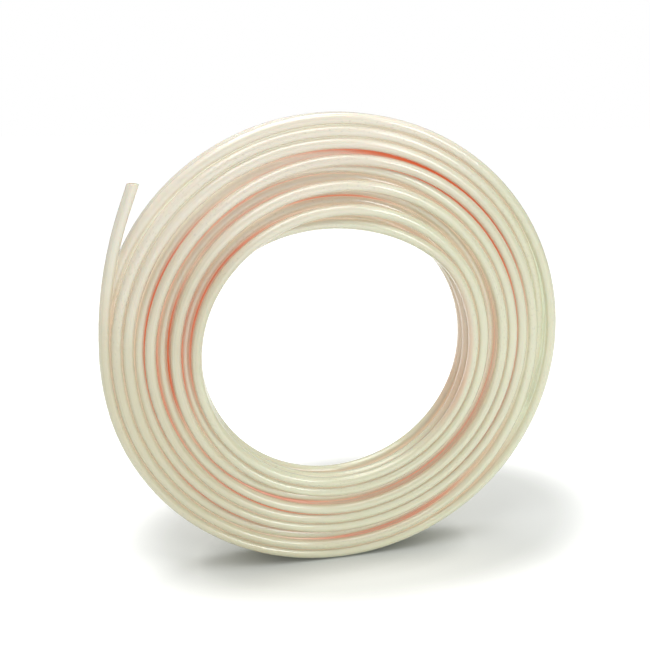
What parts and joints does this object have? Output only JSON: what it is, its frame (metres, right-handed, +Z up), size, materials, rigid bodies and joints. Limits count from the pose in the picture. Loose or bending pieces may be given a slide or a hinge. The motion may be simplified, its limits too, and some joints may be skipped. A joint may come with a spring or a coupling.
{
  "type": "pex pipe coil",
  "caption": "Standing coil of cream cross-linked polyethylene pipe, wound in layers round an open eye, with a free end that springs off the rim.",
  "frame": {"origin": "under the middle of the coil, where its rim touches the ground", "axes": "+Z up, +Y along the coil's axis from its front end face to its back, +X to the right as seen from the front; the free end is on the left at the front"},
  "size_m": [0.7004, 0.0646, 0.7004],
  "materials": {
    "pipe": "satin, slightly translucent cream"
  },
  "bodies": {
    "root": {"pipe_coil": "pipe"}
  },
  "joints": []
}
